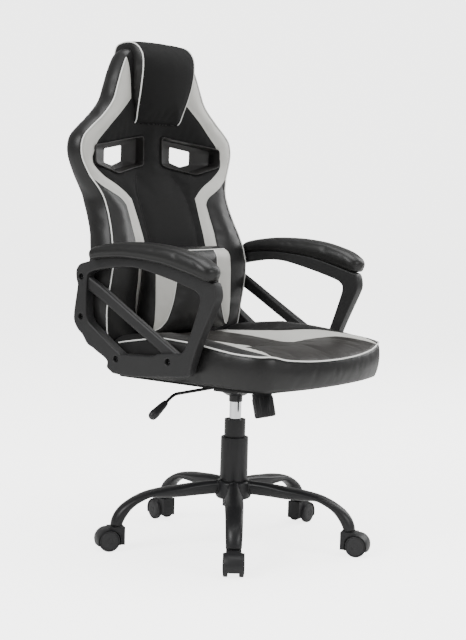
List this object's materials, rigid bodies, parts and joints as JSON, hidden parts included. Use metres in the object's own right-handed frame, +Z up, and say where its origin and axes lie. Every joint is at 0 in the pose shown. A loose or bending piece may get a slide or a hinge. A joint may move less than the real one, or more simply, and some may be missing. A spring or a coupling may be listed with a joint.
{
  "type": "office chair",
  "caption": "Racing-style swivel chair with a winged backrest with two openings, lumbar and head cushions, looped padded arms, gas lift, tilt mechanism and a caster base.",
  "frame": {"origin": "on the floor, on the gas lift's axis", "axes": "+Z up, the chair faces -Y, +X is the sitter's left"},
  "size_m": [0.6507, 0.6454, 1.184],
  "materials": {
    "black_coated_steel": "satin powder coat",
    "black_nylon": "fine matt grain",
    "chrome": "polished",
    "bare_steel": "satin",
    "acetal": "smooth",
    "tyre_plastic": "satin",
    "black_leather": "semi-gloss PU leather over foam",
    "arm_plastic": "satin",
    "dust_cloth": "matt non-woven",
    "plywood": "raw",
    "rubber_seal": "matt"
  },
  "bodies": {
    "base": {"base_hub": "black_coated_steel", "leg_1": "black_coated_steel", "leg_2": "black_coated_steel", "leg_3": "black_coated_steel", "leg_4": "black_coated_steel", "leg_5": "black_coated_steel", "leg_sockets": "black_coated_steel", "column_tube": "black_coated_steel", "column_cover": "black_nylon", "guide_bush": "acetal", "thrust_bearing": "bare_steel"},
    "rod": {"piston_rod": "bare_steel", "rod_clip": "bare_steel"},
    "mechanism": {"pressure_tube": "chrome", "rod_seal": "rubber_seal", "mechanism_housing": "black_coated_steel", "tilt_pin": "bare_steel", "tension_spring": "bare_steel"},
    "valve": {"valve_pin": "bare_steel"},
    "tension": {"tension_bolt": "bare_steel"},
    "knob": {"tension_knob": "black_nylon"},
    "lever_slide": {"lever_bush": "acetal"},
    "lever": {"lever_rod": "black_coated_steel", "lever_grip": "black_nylon"},
    "seat": {"seat_plate": "black_coated_steel", "seat_bolts": "bare_steel", "dust_cover": "dust_cloth", "seat_frame": "plywood", "seat_cushion": "black_leather", "back_frame": "plywood", "back_cushion": "black_leather", "vent_left": "arm_plastic", "vent_right": "arm_plastic", "lumbar_cushion": "black_leather", "head_cushion": "black_leather", "arm_left": "arm_plastic", "arm_right": "arm_plastic", "pad_left": "black_leather", "pad_right": "black_leather", "arm_bolts": "bare_steel"},
    "caster_1": {"caster_hood_1": "black_nylon", "caster_pins_1": "bare_steel"},
    "left_wheel_1": {"wheel_a_1": "tyre_plastic"},
    "right_wheel_1": {"wheel_b_1": "tyre_plastic"},
    "caster_2": {"caster_hood_2": "black_nylon", "caster_pins_2": "bare_steel"},
    "left_wheel_2": {"wheel_a_2": "tyre_plastic"},
    "right_wheel_2": {"wheel_b_2": "tyre_plastic"},
    "caster_3": {"caster_hood_3": "black_nylon", "caster_pins_3": "bare_steel"},
    "left_wheel_3": {"wheel_a_3": "tyre_plastic"},
    "right_wheel_3": {"wheel_b_3": "tyre_plastic"},
    "caster_4": {"caster_hood_4": "black_nylon", "caster_pins_4": "bare_steel"},
    "left_wheel_4": {"wheel_a_4": "tyre_plastic"},
    "right_wheel_4": {"wheel_b_4": "tyre_plastic"},
    "caster_5": {"caster_hood_5": "black_nylon", "caster_pins_5": "bare_steel"},
    "left_wheel_5": {"wheel_a_5": "tyre_plastic"},
    "right_wheel_5": {"wheel_b_5": "tyre_plastic"}
  },
  "joints": [
    {"name": "swivel", "type": "hinge", "parent": "base", "child": "rod", "pos_m": [0, 0, 0.2], "axis": [0, 0, 1], "continuous": true},
    {"name": "lift", "type": "slide", "parent": "rod", "child": "mechanism", "axis": [0, 0, 1], "range_m": [-0.04, 0.06]},
    {"name": "tilt", "type": "hinge", "parent": "mechanism", "child": "seat", "pos_m": [0, -0.022, 0.383], "axis": [-1, 0, 0], "range_deg": [0, 12], "stiffness_Nm_per_rad": 170, "springref_deg": -22.92},
    {"name": "tension_rise", "type": "slide", "parent": "mechanism", "child": "tension", "axis": [0, 0.2351, 0.972], "range_m": [0, 0.012], "deforming": ["tension_spring"]},
    {"name": "knob_turn", "type": "hinge", "parent": "tension", "child": "knob", "pos_m": [0, -0.0721, 0.384], "axis": [0, 0.2351, 0.972], "range_deg": [-720, 720]},
    {"name": "lever_pull", "type": "slide", "parent": "mechanism", "child": "lever_slide", "axis": [-1, 0, 0], "range_m": [0, 0.006]},
    {"name": "lever_lift", "type": "hinge", "parent": "lever_slide", "child": "lever", "pos_m": [-0.05, 0.016, 0.3795], "axis": [0, 1, 0], "range_deg": [0, 5], "stiffness_Nm_per_rad": 4, "springref_deg": -8.59},
    {"name": "valve_press", "type": "slide", "parent": "mechanism", "child": "valve", "axis": [0, 0, -1], "range_m": [0, 0.006]},
    {"name": "caster_swivel_1", "type": "hinge", "parent": "base", "child": "caster_1", "pos_m": [-0.22345, -0.17691, 0.06], "axis": [0, 0, 1], "continuous": true},
    {"name": "left_wheel_roll_1", "type": "hinge", "parent": "caster_1", "child": "left_wheel_1", "pos_m": [-0.23913, -0.18932, 0.025], "axis": [0.6207, -0.784, 0], "continuous": true},
    {"name": "right_wheel_roll_1", "type": "hinge", "parent": "caster_1", "child": "right_wheel_1", "pos_m": [-0.23913, -0.18932, 0.025], "axis": [0.6207, -0.784, 0], "continuous": true},
    {"name": "caster_swivel_2", "type": "hinge", "parent": "base", "child": "caster_2", "pos_m": [0.0992, -0.26718, 0.06], "axis": [0, 0, 1], "continuous": true},
    {"name": "left_wheel_roll_2", "type": "hinge", "parent": "caster_2", "child": "left_wheel_2", "pos_m": [0.10616, -0.28593, 0.025], "axis": [0.9375, 0.3481, 0], "continuous": true},
    {"name": "right_wheel_roll_2", "type": "hinge", "parent": "caster_2", "child": "right_wheel_2", "pos_m": [0.10616, -0.28593, 0.025], "axis": [0.9375, 0.3481, 0], "continuous": true},
    {"name": "caster_swivel_3", "type": "hinge", "parent": "base", "child": "caster_3", "pos_m": [0.28476, 0.01179, 0.06], "axis": [0, 0, 1], "continuous": true},
    {"name": "left_wheel_roll_3", "type": "hinge", "parent": "caster_3", "child": "left_wheel_3", "pos_m": [0.30474, 0.01261, 0.025], "axis": [-0.0414, 0.9991, 0], "continuous": true},
    {"name": "right_wheel_roll_3", "type": "hinge", "parent": "caster_3", "child": "right_wheel_3", "pos_m": [0.30474, 0.01261, 0.025], "axis": [-0.0414, 0.9991, 0], "continuous": true},
    {"name": "caster_swivel_4", "type": "hinge", "parent": "base", "child": "caster_4", "pos_m": [0.07679, 0.27446, 0.06], "axis": [0, 0, 1], "continuous": true},
    {"name": "left_wheel_roll_4", "type": "hinge", "parent": "caster_4", "child": "left_wheel_4", "pos_m": [0.08217, 0.29372, 0.025], "axis": [-0.963, 0.2694, 0], "continuous": true},
    {"name": "right_wheel_roll_4", "type": "hinge", "parent": "caster_4", "child": "right_wheel_4", "pos_m": [0.08217, 0.29372, 0.025], "axis": [-0.963, 0.2694, 0], "continuous": true},
    {"name": "caster_swivel_5", "type": "hinge", "parent": "base", "child": "caster_5", "pos_m": [-0.2373, 0.15784, 0.06], "axis": [0, 0, 1], "continuous": true},
    {"name": "left_wheel_roll_5", "type": "hinge", "parent": "caster_5", "child": "left_wheel_5", "pos_m": [-0.25395, 0.16892, 0.025], "axis": [-0.5538, -0.8326, 0], "continuous": true},
    {"name": "right_wheel_roll_5", "type": "hinge", "parent": "caster_5", "child": "right_wheel_5", "pos_m": [-0.25395, 0.16892, 0.025], "axis": [-0.5538, -0.8326, 0], "continuous": true}
  ],
  "couplings": [
    {"joint": "tension_rise", "follows": "tilt", "m_per_rad": 0.0514},
    {"joint": "valve_press", "follows": "lever_lift", "m_per_rad": 0.054}
  ]
}
